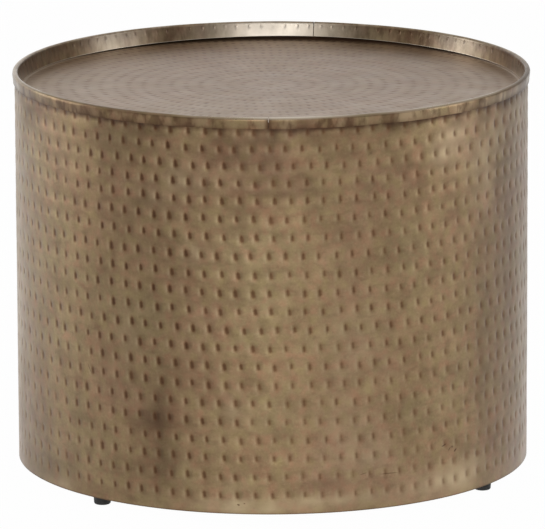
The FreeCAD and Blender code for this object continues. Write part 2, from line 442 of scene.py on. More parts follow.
class Shader(Tree):
    """Adds nodes to one material that starts with a Principled surface."""

    def __init__(self, name):
        self.material = bpy.data.materials.new(name)
        super().__init__(self.material)
        self.surface = self.nodes["Principled BSDF"]
        self.place = self.add("TexCoord").outputs["Object"]

    def finish(self, **values):
        """Sets the surface's inputs and returns the material."""
        self.set(self.surface, **values)
        return self.material

    def noise(self, length, detail=2.0, rough=0.5, stretch=(1, 1, 1)):
        """Noise from 0 to 1 with features of about that length."""
        mapping = self.add("Mapping", Vector=self.place, Scale=stretch)
        texture = self.add("TexNoise", Vector=mapping.outputs["Vector"], Scale=1 / length)
        return self.set(texture, Detail=detail, Roughness=rough).outputs["Fac"]

    def height(self):
        """Height above the floor."""
        return self.add("SeparateXYZ", Vector=self.place).outputs["Z"]

    def stroke(self, azimuth, level, length, width, slant):
        """1 on a short mark on the shell, fading to 0 round it; slant in degrees from level."""
        side = math.radians(azimuth)
        tangent = Vector((math.cos(side), math.sin(side), 0))
        outward = Vector((math.sin(side), -math.cos(side), 0))
        along = Matrix.Rotation(math.radians(-slant), 3, outward) @ tangent
        axes = Matrix((along, outward.cross(along), outward)).transposed()
        mapping = self.add("Mapping", Vector=self.place)
        mapping.vector_type = "TEXTURE"
        self.set(mapping, Location=SHELL_OUTER * outward + Vector((0, 0, level)), Rotation=axes.to_euler())
        self.set(mapping, Scale=(length / 2, width / 2, SCRATCH_REACH))
        away = self.add("VectorMath")
        away.operation = "LENGTH"
        self.links.new(mapping.outputs["Vector"], away.inputs[0])
        return self.range(away.outputs["Value"], 0.5, 1.0, 1.0, 0.0)

    def cells(self, length):
        """A random colour for each cell of about that length."""
        return self.add("TexVoronoi", Vector=self.place, Scale=1 / length).outputs["Color"]

    def mark(self, name):
        """A value stored with the mesh's points."""
        attribute = self.add("Attribute")
        attribute.attribute_name = name
        return attribute.outputs["Fac"]

    def ramp(self, value, *stops):
        """Colours at places along a value."""
        node = self.add("ValToRGB", Fac=value)
        elements = node.color_ramp.elements
        while len(elements) < len(stops):
            elements.new(1.0)
        for element, (place, colour) in zip(elements, stops):
            element.position = place
            element.color = colour
        return node.outputs["Color"]

    def mix(self, share, first, second, blend="MIX"):
        """Colour between two others."""
        node = self.add("Mix")
        node.data_type = "RGBA"
        node.blend_type = blend
        self.feed(node.inputs["Factor"], share)
        self.feed(node.inputs[MIX_FIRST], first)
        self.feed(node.inputs[MIX_SECOND], second)
        return node.outputs[MIX_RESULT]

    def bump(self, height, depth, below=None):
        """Surface direction of small relief, on top of another one."""
        node = self.add("Bump", Distance=depth, Height=height)
        if below is not None:
            self.links.new(below, node.inputs["Normal"])
        return node.outputs["Normal"]


# Colours of the brass
OLIVE = srgb(147, 127, 93)
BROWN = srgb(150, 124, 91)
ROSE = srgb(153, 124, 96)
RED_BROWN = srgb(163, 117, 91)
GREEN_GOLD = srgb(151, 135, 89)
FLOOR_ROSE = srgb(158, 119, 98)
PATINA = srgb(67, 41, 19)
DENT_RED = srgb(98, 62, 30)
DENT_DARK = srgb(66, 36, 8)
# Pale brass for rubbed wear and painted light
RUBBED_AND_LIT = srgb(186, 165, 132)
# Pale tone for painted highlights
HIGHLIGHT_TONE = srgb(240, 229, 213)

# Colours of the other materials, the darker one first
PAINT = (srgb(34, 33, 32), srgb(74, 71, 67))
RUBBER = (srgb(30, 29, 28), srgb(46, 44, 43))
FELT = (srgb(48, 46, 45), srgb(84, 81, 78))
PLATING = srgb(186, 187, 188)
WIRE = srgb(72, 64, 54)

# Lengths of the brass's patterns
TINT_LENGTH = 11 * MM
GRIME_LENGTH = 26 * MM
STREAK_LENGTH = 14 * MM
GRAIN_LENGTH = 2.2 * MM
GLOSS_LENGTH = 30 * MM
FACET_LENGTH = 9 * MM
SHADOW_LENGTH = 12 * MM
RUN_LENGTH = 6 * MM
BLOTCH_LENGTH = 9 * MM

# The painted shadow under the lip starts and is full at these depths below the lip's edge
SHADOW_START = 5 * MM
SHADOW_FULL = 0.8 * MM
DARK_EDGE_HEIGHT = 1.6 * MM
# The lip's blotches start and are full at these depths below the rim's top
BLOTCH_START = 1.2 * MM
BLOTCH_FULL = 2.8 * MM

# A scratch colours the shell this far in and out of its face
SCRATCH_REACH = 10 * MM
# Scratches, in degrees and millimetres: azimuth, height, length, width, slant, dark share
SCRATCHES = (
    (33.3, 64.3, 8.5, 1.8, -16, 0.8),
    (34.9, 59.5, 7.0, 1.5, -45, 0.7),
    (35.7, 61.0, 3.0, 2.6, 0, 0.7),
    (36.7, 56.8, 6.0, 2.4, -40, 0.85),
    (18.6, 45.0, 26.0, 1.4, 1, 0.5),
    (12.4, 47.5, 9.0, 1.3, -12, 0.45),
    (-15.2, 19.5, 3.6, 2.4, 20, 0.7),
    (-13.9, 21.0, 2.2, 1.8, 0, 0.6),
    (-52.0, 143.0, 12.0, 1.4, 62, 0.5),
    (96.0, 240.0, 15.0, 1.4, 38, 0.5),
    (151.0, 118.0, 11.0, 1.5, -28, 0.55),
    (-128.0, 306.0, 13.0, 1.4, 15, 0.5),
)


def brass(name, mottle, streaks, relief, grain_relief, smooth, rough, coat, coat_rough):
    """Antique brass: olive, brown and rose mottling, dark patina and painted shade in the marks, rubbed
    wear and painted light, pale painted highlights.

    Returns the shader and its colour so far, for marks of its own.
    """
    shader = Shader(name)
    broad = shader.noise(mottle, detail=3)
    base = shader.ramp(broad, (0.36, OLIVE), (0.5, BROWN), (0.64, ROSE))
    cloud = shader.range(shader.noise(mottle * 0.35, detail=4), 0.35, 0.7, 0.0, 0.5)
    base = shader.mix(cloud, base, OLIVE)
    tint = shader.noise(TINT_LENGTH, detail=3)
    base = shader.mix(shader.range(tint, 0.3, 0.5, 0.45, 0.0), base, RED_BROWN)
    base = shader.mix(shader.range(tint, 0.5, 0.7, 0.0, 0.45), base, GREEN_GOLD)
    grime = shader.range(shader.noise(GRIME_LENGTH, detail=4, rough=0.6), 0.34, 0.66, 0.0, 0.34)
    base = shader.mix(grime, base, PATINA)
    streak = shader.range(shader.noise(STREAK_LENGTH, detail=3, stretch=streaks), 0.5, 0.75, 0.0, 0.24)
    base = shader.mix(streak, base, PATINA)
    grain = shader.noise(GRAIN_LENGTH, detail=3)
    base = shader.mix(shader.range(grain, 0.55, 0.8, 0.0, 0.18), base, PATINA)
    base = shader.mix(shader.range(grain, 0.2, 0.45, 0.16, 0.0), base, RUBBED_AND_LIT)
    # Rubbed wear and painted light, in paler brass
    base = shader.mix(shader.range(shader.mark("rubbed"), 0, 1, 0, 0.85), base, RUBBED_AND_LIT)
    # Tarnish and painted shade, in dark patina
    tarnish = shader.mark("tarnish")
    base = shader.mix(shader.range(tarnish, 0, 1, 0, 0.9), base, PATINA)
    dent = shader.mark("dent")
    base = shader.mix(shader.range(dent, 0.0, 0.6, 0.0, 0.6), base, DENT_RED)
    base = shader.mix(shader.range(dent, 0.3, 1.0, 0.0, 0.92), base, DENT_DARK)
    # Painted highlights, in a pale tone
    base = shader.mix(shader.mark("bare"), base, HIGHLIGHT_TONE)
    gloss = shader.range(shader.noise(GLOSS_LENGTH, detail=4), 0.3, 0.7, smooth, rough)
    gloss = shader.combine("ADD", gloss, shader.range(tarnish, 0.1, 0.8, 0.0, 0.2))
    facets = shader.bump(shader.noise(FACET_LENGTH, detail=1), relief)
    fine = shader.bump(grain, grain_relief, below=facets)
    shader.finish(Metallic=1.0, Roughness=gloss, Normal=fine, Coat_Weight=coat, Coat_Roughness=coat_rough)
    return shader, base


def shell_finish():
    """Brass of the shell, with a painted shadow under the tray's lip, a dark lower edge and scratches."""
    shader, base = brass(
        "shell_brass", mottle=90 * MM, streaks=(1, 1, 2.2), relief=0.1 * MM, grain_relief=0.03 * MM,
        smooth=0.36, rough=0.46, coat=0.33, coat_rough=0.32,
    )
    height = shader.height()
    lip_edge = RIM_TOP - LIP_DEPTH
    uneven = shader.range(shader.noise(SHADOW_LENGTH, detail=2), 0.36, 0.62, 0.4, 1.0)
    # Painted shadow under the lip, uneven along it
    under_lip = shader.range(height, lip_edge - SHADOW_START, lip_edge - SHADOW_FULL, 0.0, uneven)
    base = shader.mix(under_lip, base, PATINA)
    lower_edge = shader.range(height, SHELL_BOTTOM + DARK_EDGE_HEIGHT, SHELL_BOTTOM, 0.0, 0.7)
    base = shader.mix(lower_edge, base, PATINA)
    for azimuth, level, length, width, slant, dark in SCRATCHES:
        mark = shader.stroke(azimuth, level * MM, length * MM, width * MM, slant)
        base = shader.mix(shader.range(mark, 0, 1, 0, dark), base, DENT_DARK)
    return shader.finish(Base_Color=base)


def tray_finish():
    """Brass of the tray's floor."""
    shader, base = brass(
        "tray_brass", mottle=120 * MM, streaks=(1, 1, 1), relief=0.02 * MM, grain_relief=0.01 * MM,
        smooth=0.32, rough=0.4, coat=0.2, coat_rough=0.32,
    )
    return shader.finish(Base_Color=shader.mix(0.3, base, FLOOR_ROSE))


def wall_finish():
    """Brass of the rim's inner wall, polished and lacquered; its runs of patina fade where highlights are
    painted.
    """
    shader, base = brass(
        "wall_brass", mottle=40 * MM, streaks=(1, 1, 0.3), relief=0.05 * MM, grain_relief=0.03 * MM,
        smooth=0.28, rough=0.4, coat=0.4, coat_rough=0.22,
    )
    most = shader.range(shader.mark("bare"), 0.0, 0.6, 0.6, 0.1)
    runs = shader.range(shader.noise(RUN_LENGTH, detail=3, stretch=(1, 1, 0.35)), 0.35, 0.7, 0.0, most)
    return shader.finish(Base_Color=shader.mix(runs, base, PATINA))


def lip_finish():
    """Brass of the rolled edge and the lip, blotched with patina."""
    shader, base = brass(
        "lip_brass", mottle=30 * MM, streaks=(1, 1, 0.3), relief=0.07 * MM, grain_relief=0.03 * MM,
        smooth=0.24, rough=0.36, coat=0.3, coat_rough=0.22,
    )
    clouds = shader.noise(BLOTCH_LENGTH, detail=4, stretch=(1, 1, 0.45))
    blotches = shader.range(clouds, 0.48, 0.64, 0.0, 0.65)
    below_top = shader.range(shader.height(), RIM_TOP - BLOTCH_START, RIM_TOP - BLOTCH_FULL, 0.0, blotches)
    return shader.finish(Base_Color=shader.mix(below_top, base, PATINA))


def black_paint():
    """Satin black paint on steel, with faint dust."""
    shader = Shader("black_paint")
    dust = shader.range(shader.noise(25 * MM, detail=5), 0.5, 0.8, 0, 0.35)
    base = shader.mix(dust, *PAINT)
    rough = shader.range(shader.noise(12 * MM, detail=3), 0.3, 0.7, 0.36, 0.52)
    peel = shader.bump(shader.noise(1.6 * MM), 0.03 * MM)
    return shader.finish(Base_Color=base, Roughness=rough, Normal=peel)


def rubber():
    """Moulded black rubber."""
    shader = Shader("black_rubber")
    base = shader.ramp(shader.noise(4 * MM, detail=4), (0.35, RUBBER[0]), (0.7, RUBBER[1]))
    rough = shader.range(shader.noise(3 * MM, detail=2), 0.3, 0.7, 0.55, 0.75)
    grain = shader.bump(shader.noise(0.6 * MM, detail=2), 0.05 * MM)
    return shader.finish(Base_Color=base, Roughness=rough, Normal=grain)


def felt():
    """Pressed dark felt."""
    shader = Shader("dark_felt")
    fibres = shader.noise(0.7 * MM, detail=4, stretch=(1, 2.5, 1))
    base = shader.ramp(fibres, (0.3, FELT[0]), (0.7, FELT[1]))
    nap = shader.bump(fibres, 0.2 * MM)
    return shader.finish(Base_Color=base, Roughness=0.95, Sheen_Weight=0.3, Normal=nap)


def bare_metal(name, tone, length):
    """Steel with faint grains of about that length."""
    shader = Shader(name)
    base = shader.mix(0.25, tone, shader.cells(length), blend="SOFT_LIGHT")
    rough = shader.range(shader.noise(4 * length, detail=3), 0.3, 0.7, 0.28, 0.45)
    scuffs = shader.bump(shader.noise(0.8 * MM, detail=3), 0.02 * MM)
    return shader.finish(Base_Color=base, Metallic=1.0, Roughness=rough, Normal=scuffs)


# Dark stains of the shell with painted shade among them (under the lip at 400 mm, high at the front), then
# rubbed stains with painted light among them, in degrees and millimetres:
# azimuth, height, half width, half height, share
DARK_STAINS_AND_SHADE = (
    # Painted shade high at the front
    (-8, 366, 52, 44, 0.4),
    (-20, 380, 20, 16, 0.25),
    (-43, 384, 26, 14, 0.3),
    (-76, 390, 24, 10, 0.3),
    (-39, 200, 74, 400, 0.2),
    (-34.5, 102, 20, 16, 0.45),
    (-32, 58, 14, 32, 0.36),
    (-33, 128, 12, 14, 0.26),
    (-57, 48, 12, 12, 0.25),
    (-66, 20, 66, 18, 0.3),
    (-72, 80, 46, 90, 0.26),
    (-84, 60, 24, 60, 0.2),
    (-70.5, 185, 16, 15, 0.22),
    (-78, 376, 16, 12, 0.24),
    (-31, 106, 14, 14, 0.2),
    (-27, 156, 14, 14, 0.24),
    (-56, 90, 15, 16, 0.22),
    (22, 333, 16, 14, 0.2),
    (-37, 54, 12, 14, 0.18),
    # Painted shadow under the lip's edge
    (58, 400, 32, 5, 0.45),
    (21, 400, 28, 5, 0.4),
    (-2, 400, 9, 5, 0.3),
    (-49, 17, 16, 6, 0.3),
    (4.5, 40, 24, 6, 0.3),
    (46, 140, 14, 110, 0.18),
    (56, 200, 66, 400, 0.3),
    (58, 230, 20, 60, 0.15),
    (70, 310, 24, 90, 0.13),
    (170, 210, 60, 80, 0.2),
)
RUBBED_STAINS_AND_LIGHT = (
    (-90, 240, 30, 200, 0.3),
    (-58, 357, 20, 20, 0.15),
    (-28, 350, 20, 15, 0.36),
    (-34, 330, 14, 14, 0.2),
    (-24.5, 274, 16, 14, 0.24),
    (-41, 182, 14, 28, 0.24),
    (-16.5, 118, 16, 14, 0.28),
    (-17, 39, 14, 9, 0.22),
    (10, 187, 30, 34, 0.22),
    (14, 63, 22, 16, 0.3),
    (33, 361, 16, 13, 0.3),
    (37.5, 389, 16, 10, 0.32),
    (42, 38, 18, 13, 0.28),
    (8, 100, 36, 40, 0.15),
    (34, 376, 24, 18, 0.5),
    (48, 350, 34, 40, 0.5),
    (36, 27, 42, 14, 0.8),
    (-14, 18, 44, 7, 0.7),
    (-62, 16, 20, 7, 0.5),
    (6, 22, 60, 7, 0.5),
    (128, 330, 50, 30, 0.3),
    (-150, 60, 60, 18, 0.35),
)


def factors(count, spread, least, most):
    """Random factors round 1, within limits."""
    return dice.normal(1, spread, count).clip(least, most)


def near_azimuth(azimuth, middle, spread):
    """One at an azimuth in degrees, falling away on both sides of it."""
    away = (azimuth - math.radians(middle) + math.pi) % (2 * math.pi) - math.pi
    return np.exp(-(away / math.radians(spread)) ** 2)


def near_azimuths(azimuth, places):
    """Sum over several places, each a middle, a spread and a share."""
    return sum(share * near_azimuth(azimuth, middle, spread) for middle, spread, share in places)


def stains_and_light(azimuth, height, places):
    """Sum of the shares of the stains, painted shade and painted light at these points of the shell."""
    total = np.zeros_like(azimuth)
    for place, level, half_width, half_height, share in places:
        across = (azimuth - math.radians(place)) * SHELL_OUTER / (half_width * MM)
        along = (height - level * MM) / (half_height * MM)
        total += share * np.exp(-across ** 2 - along ** 2)
    return total


def dent_rows():
    """Azimuths, heights, size factors and depth factors of the dents, row by row from the bottom."""
    turn = 2 * math.pi / DENTS_PER_ROW
    level = SHELL_BOTTOM + FIRST_ROW_ABOVE_EDGE
    rows = []
    for row in range(LOWER_ROWS + UPPER_ROWS):
        if row:
            level += ROW_PITCH if row < LOWER_ROWS else UPPER_ROW_PITCH
        start = dice.uniform(*ROW_START)
        slip = dice.uniform(-DENT_SLIP, DENT_SLIP, DENTS_PER_ROW) / SHELL_OUTER
        azimuth = -math.pi + turn * (np.arange(DENTS_PER_ROW) + start) + slip
        along = on_circle(azimuth, SHELL_OUTER, level * WANDER_HEIGHT_SHARE)
        wander = ROW_WANDER * wave(along, ROW_WANDER_LENGTH, 1)
        rise = wander + dice.uniform(-DENT_RISE, DENT_RISE, DENTS_PER_ROW)
        size = factors(DENTS_PER_ROW, *DENT_SIZES)
        depth = factors(DENTS_PER_ROW, *DENT_DEPTHS)
        rows.append((azimuth, level + rise, size, depth))
    return rows


def beside_seam(azimuth):
    """Azimuths of one line in rising order, none of them past the shell's seam."""
    azimuth = np.sort(azimuth, axis=None)
    room = (SEAM_GAP / 2 + SEAM_STEP * np.arange(1, len(azimuth) + 1)) / SHELL_OUTER
    return azimuth.clip(room - math.pi, math.pi - room[::-1])


def to_seam(azimuth, height, *values):
    """Carries a line on to both sides of the seam, level with its ends and with its other values at 0."""
    azimuth = np.concatenate(((-SEAM_SIDE,), azimuth, (SEAM_SIDE,)))
    return azimuth, np.pad(height, 1, mode="edge"), *(np.pad(value, 1) for value in values)


def shell_line(surface, azimuth, height, sink, paint, painted_light, ridge):
    """One line of the shell's outside, from one side of the seam to the other."""
    azimuth, height, sink, paint, painted_light, ridge = to_seam(azimuth, height, sink, paint, painted_light, ridge)
    points = on_circle(azimuth, SHELL_OUTER, height)
    ripple = SHELL_WAVE * wave(points, SHELL_WAVE_LENGTH, 2)
    broken = 1 + STAIN_BREAK * wave(points, STAIN_BREAK_LENGTH, 3)
    dark = stains_and_light(azimuth, height, DARK_STAINS_AND_SHADE)
    light = stains_and_light(azimuth, height, RUBBED_STAINS_AND_LIGHT) * broken
    under_lip = np.exp(-((height - RIM_TOP + LIP_DEPTH) / UNDER_LIP_REACH) ** 2)
    cloudy = (0.5 + wave(points, CLOUD_LENGTH, 5)).clip(0, 1)
    # Tarnish plus painted shade under the lip and tarnish on the ridges, both clouded
    tarnish = dark + UNDER_LIP_SHADE * under_lip * cloudy + RIDGE_TARNISH * ridge * cloudy
    # Painted light from the dents: its negative part darkens as painted shade, its positive part lightens
    # as a painted highlight
    return surface.ring(
        azimuth,
        SHELL_OUTER - sink + np.minimum(ripple, SHELL_WAVE_MOST),
        height,
        dent=paint,
        tarnish=(tarnish - painted_light.clip(-1, 0)).clip(0, 1),
        rubbed=(light + painted_light).clip(0, 1),
    )


def plain_line(surface, azimuth, level):
    """One even line of the shell's outside, without dents."""
    flat = np.zeros_like(azimuth)
    return shell_line(surface, azimuth, np.full_like(azimuth, level), flat, flat, flat, flat)


def fade_up(height):
    """Share of the full grooves between the rows at this height: flatter below, stronger above."""
    return np.interp(height, GROOVE_FADE, GROOVE_SHARES)


def dent_tone(azimuth, height):
    """Share of dark patina in the dents, with painted shade added left of the front: most left of the
    front, more at the back, less low down.
    """
    away = (azimuth - math.radians(DENT_SHADE_AZIMUTH)) / math.radians(DENT_SHADE_SPREAD)
    # The rise left of the front is painted shade, where the dents' walls face away from the light
    tone = DENT_TONE + DENT_SHADE_RISE * np.exp(-away ** 2) + DENT_TONE_BACK * np.sin(azimuth / 2) ** 4
    return tone * np.interp(height, DENT_TONE_FADE, DENT_TONE_SHARES)


def blot(line, place, reach):
    """One at a place among the columns and lines of a dent, falling away round it."""
    across = (DENT_COLUMNS - place[0]) / reach[0]
    along = (line - place[1]) / reach[1]
    return np.exp(-across ** 2 - along ** 2)


def dent_lines(surface, azimuth, height, size, depth):
    """Lines of the shell's outside through one row of dents.

    A dent is dark inside, with a painted highlight at its left and painted shade at its right.
    """
    fade = np.repeat(fade_up(height), len(DENT_COLUMNS))
    taper = np.interp(height.mean(), GROOVE_FADE, DENT_TAPER)
    tone = dent_tone(azimuth, height)
    dark = tone * (0.5 + 0.5 * depth).clip(*DENT_TONE_LIMITS)
    lines = []
    for line in DENT_LINES:
        leaning = DENT_HALF_WIDTH * (DENT_COLUMNS - DENT_LEAN * line)
        columns = azimuth[:, None] + leaning * size[:, None] / SHELL_OUTER
        levels = np.repeat(height + line * DENT_HALF_HEIGHT * size, len(DENT_COLUMNS))
        across = DENT_COLUMNS / (1 - taper * line)
        pit = np.clip(1 - (across / PIT_HALF_WIDTH) ** 2, 0, 1) ** 2 * max(0, 1 - line ** 2)
        dish = blot(line, DISH_PLACE, DISH_REACH)
        trough = (1 - (line / DENT_LINES[-1]) ** 2) ** 2
        hollow = np.outer(depth, DENT_DEPTH * pit + DISH_DEPTH * dish).ravel()
        ink = np.clip(1 - ((across - INK_PLACE) / INK_HALF_WIDTH) ** 2, 0, 1) ** INK_POWER
        ink = ink * np.clip(INK_FILL * (1 - line ** 2), 0, 1)
        # A painted highlight left of the dent and painted shade right of it, as if lit from the left
        painted_light = HIGHLIGHT_SHARE * blot(line, HIGHLIGHT_PLACE, HIGHLIGHT_REACH)
        painted_shade = SHADE_SHARE * blot(line, SHADE_PLACE, SHADE_REACH)
        lines.append(
            shell_line(
                surface,
                beside_seam(columns),
                np.minimum(levels, SHELL_TOP - SHELL_TOP_MARGIN),
                sink=hollow + GROOVE_DEPTH * fade * trough,
                paint=np.outer(dark, ink).ravel(),
                painted_light=np.outer(tone, painted_light - painted_shade).ravel(),
                ridge=fade * (1 - trough),
            )
        )
    return lines


def inside_line(surface, azimuth, height, bulge):
    """One line of the shell's inside, from one side of the seam to the other."""
    azimuth, height, bulge = to_seam(azimuth, height, bulge)
    return surface.ring(azimuth, SHELL_INNER - bulge, height, tarnish=INSIDE_TARNISH)


def inside_lines(surface, rows, plain):
    """Lines of the shell's inside from the top down, with a bulge behind each dent."""
    flat = np.zeros_like(plain)
    lines = [inside_line(surface, plain, np.full_like(plain, SHELL_TOP), flat)]
    for number, (azimuth, height, _, depth) in reversed(list(enumerate(rows))):
        following = np.append(azimuth[1:], azimuth[0] + 2 * math.pi)
        columns = np.stack((azimuth, (azimuth + following) / 2), axis=-1)
        columns[-1, 1] = min(columns[-1, 1], SEAM_SIDE - INSIDE_SEAM_ANGLE)
        most = INSIDE_BULGE if number < LOWER_ROWS else INSIDE_BULGE_BY_TRAY
        bulge = np.stack((most * depth, np.zeros_like(depth)), axis=-1).clip(0, INSIDE_BULGE_MOST * most)
        lines.append(inside_line(surface, columns.ravel(), np.repeat(height, 2), bulge.ravel()))
        if number:
            middle = (height + rows[number - 1][1]) / 2
            lines.append(inside_line(surface, columns.ravel(), np.repeat(middle, 2), flat))
    lines.append(inside_line(surface, plain, np.full_like(plain, SHELL_BOTTOM), flat))
    return lines


def make_shell(material):
    """Hammered sheet rolled into a drum, open at its seam."""
    surface = Surface()
    rows = dent_rows()
    turn = 2 * math.pi / DENTS_PER_ROW
    starts = turn * np.repeat(np.arange(DENTS_PER_ROW), len(PLAIN_COLUMNS)) - math.pi
    plain = starts + turn * np.tile(PLAIN_COLUMNS, DENTS_PER_ROW)
    outside = [plain_line(surface, plain, SHELL_BOTTOM + step) for step in SHELL_EDGE_STEPS]
    for row in rows:
        outside.extend(dent_lines(surface, *row))
    outside.append(plain_line(surface, plain, SHELL_TOP))
    inside = inside_lines(surface, rows, plain)
    lines = outside + inside
    for lower, upper in zip(lines, lines[1:] + lines[:1]):
        surface.join(lower, upper, closed=False)
    for side in (0, -1):
        front = [line[0][side] for line in outside]
        back = [line[0][side] for line in reversed(inside)]
        front_at = [surface.points[number][2] for number in front]
        back_at = [surface.points[number][2] for number in back]
        caps = zipper(front, front_at, back, back_at)
        surface.faces.extend(caps if side == -1 else [face[::-1] for face in caps])
    surface.piece("hammered_shell", "drum", ["drum_shell"], "shell_brass", material)


def make_tray_floor(material):
    """Disc with rings of shallow dimples, a filleted corner and a flange."""
    surface = Surface()
    corner = FLANGE_OUTER - TRAY_SHEET - FLOOR_FILLET
    lines = []

    def floor_ring(azimuth, radius, dip, dent):
        """One ring of the floor's upper face."""
        points = on_circle(azimuth, radius, TRAY_TOP)
        sway = FLOOR_SWAY * wave(points, FLOOR_SWAY_LENGTH, 4)
        front = np.clip(-points[:, 1] / corner, 0, 1)
        back = np.clip(points[:, 1] / corner, 0, 1)
        left = np.clip(-points[:, 0] / corner, 0, 1)
        edge = np.clip((radius - corner + FLOOR_EDGE_WIDTH) / FLOOR_EDGE_WIDTH, 0, 1) ** 2
        dent = (dent * (1 + DIMPLE_TONE_BACK * back ** 2)).clip(0, 1)
        # Even wear plus painted light, brighter towards the front, the left and the edge
        rubbed = FLOOR_RUBBED + FLOOR_LIGHT_FRONT * front + FLOOR_LIGHT_LEFT * left
        rubbed = (rubbed + FLOOR_LIGHT_EDGE * edge).clip(0, 1)
        lines.append(surface.ring(azimuth, radius, TRAY_TOP - dip + sway, dent=dent, rubbed=rubbed))

    around = np.arange(CENTRE_POINTS) * 2 * math.pi / CENTRE_POINTS
    for radius, share in CENTRE_RINGS:
        floor_ring(around, radius, share * DIMPLE_DEPTH, DIMPLE_TONE * share)
    for ring in range(1, DIMPLE_RINGS + 1):
        middle = ring * DIMPLE_RING_PITCH
        count = round(2 * math.pi * middle / DIMPLE_PITCH)
        slip = dice.uniform(-DIMPLE_SLIP, DIMPLE_SLIP, count) / middle
        place = 2 * math.pi * (np.arange(count) + dice.uniform(*DIMPLE_START)) / count + slip
        shift = dice.uniform(-DIMPLE_SHIFT, DIMPLE_SHIFT, count)
        depth = factors(count, *DIMPLE_DEPTHS)
        columns = (place[:, None] + DIMPLE_COLUMNS / middle).ravel()
        for step in DIMPLE_ROWS:
            away = np.hypot(DIMPLE_COLUMNS / DIMPLE_HALF_WIDTH, step / DIMPLE_HALF_LENGTH)
            share = np.clip(1 - away ** 2, 0, 1) ** DIMPLE_POWER
            dip = (share * depth[:, None]).ravel()
            radius = middle + step + np.repeat(shift, len(DIMPLE_COLUMNS))
            floor_ring(columns, radius, DIMPLE_DEPTH * dip, DIMPLE_TONE * dip)
    plain = np.arange(PLAIN_RING_POINTS) * 2 * math.pi / PLAIN_RING_POINTS

    def plain_ring(radius, height, tarnish, rubbed=0, bare=0):
        """One even ring of the corner, flange or underside."""
        lines.append(surface.ring(plain, radius, height, tarnish=tarnish, rubbed=rubbed, bare=bare))

    # Painted shade in the corner at the back, a painted sheen elsewhere along it, and painted highlights
    # at the sides
    shade = near_azimuth(plain, *CORNER_SHADE_STRETCH)
    edge_highlight = near_azimuths(plain, CORNER_HIGHLIGHT_STRETCHES)
    dark = CORNER_SHADE * shade
    light = CORNER_SHEEN * (1 - shade)
    plain_ring(corner - CORNER_HIGHLIGHT_INSET, TRAY_TOP, dark, light, edge_highlight)
    for angle in FILLET_ANGLES:
        turn = math.radians(angle)
        plain_ring(
            corner + FLOOR_FILLET * math.sin(turn),
            TRAY_TOP + FLOOR_FILLET * (1 - math.cos(turn)),
            FILLET_TARNISH * math.sin(turn) + dark,
            light,
            edge_highlight * max(0, 1 - angle / CORNER_HIGHLIGHT_ANGLE),
        )
    plain_ring(FLANGE_OUTER - TRAY_SHEET, FLANGE_TOP, FLANGE_TARNISH)
    plain_ring(FLANGE_OUTER, FLANGE_TOP, FLANGE_TARNISH)
    reach = FLOOR_FILLET + TRAY_SHEET
    for angle in UNDERSIDE_ANGLES:
        turn = math.radians(angle)
        level = TRAY_UNDERSIDE + reach * (1 - math.cos(turn))
        plain_ring(corner + reach * math.sin(turn), level, UNDERSIDE_TARNISH)
    for share in UNDERSIDE_SHARES:
        plain_ring(corner * share, TRAY_UNDERSIDE, UNDERSIDE_TARNISH)

    for inner, outer in zip(lines, lines[1:]):
        surface.join(inner, outer, closed=True)
    ends = ((lines[0], TRAY_TOP - DIMPLE_DEPTH, False), (lines[-1], TRAY_UNDERSIDE, True))
    for line, height, flip in ends:
        hub = surface.ring((0,), 0.0, height, tarnish=HUB_TARNISH)[0][0]
        around = line[0].tolist()
        for first, second in zip(around, around[1:] + around[:1]):
            surface.faces.append((hub, second, first) if flip else (hub, first, second))
    surface.piece("dimpled_floor", "tray", ["tray_floor"], "tray_brass", material)


def rim_stations():
    """Face points of the strip from the wall's foot over the roll to the lip's edge.

    Each is (radius, height, outward direction across the sheet as radius and height).
    """
    centre = WALL_FACE + ROLL_RADIUS
    stations = []
    for share in WALL_SHARES:
        lean = WALL_LEAN * (1 - share)
        stations.append((WALL_FACE - lean, WALL_FOOT + share * (ROLL_LEVEL - WALL_FOOT), -1, 0))
    for angle in ROLL_ANGLES:
        turn = math.radians(angle)
        out, up = math.cos(turn), math.sin(turn)
        stations.append((centre + ROLL_RADIUS * out, ROLL_LEVEL + ROLL_RADIUS * up, out, up))
    lip_edge = RIM_TOP - LIP_DEPTH
    lip_outer = SHELL_OUTER + LIP_CLEARANCE + RIM_SHEET
    for share in LIP_SHARES:
        taper = share * share * (3 - 2 * share)
        radius = RIM_OUTER + taper * (lip_outer - RIM_OUTER)
        stations.append((radius, ROLL_LEVEL + share * (lip_edge - ROLL_LEVEL), 1, 0))
    return stations


def dash_row(start, end):
    """Azimuths of a strip's points between two ends, and the depth share of the wall's dashes at each."""
    count = int((end - start) * WALL_FACE / DASH_PITCH)
    turn = (end - start) / count
    slip = dice.uniform(-DASH_SLIP, DASH_SLIP, count) / WALL_FACE
    middles = start + turn * (np.arange(count) + DASH_START) + slip
    columns = (middles[:, None] + DASH_COLUMNS / WALL_FACE).ravel()
    across = np.clip(1 - (DASH_COLUMNS / DASH_HALF_WIDTH) ** 2, 0, 1)
    strength = factors(count, *DASH_STRENGTHS)
    return np.concatenate(((start,), columns, (end,))), np.pad(np.outer(strength, across).ravel(), 1)


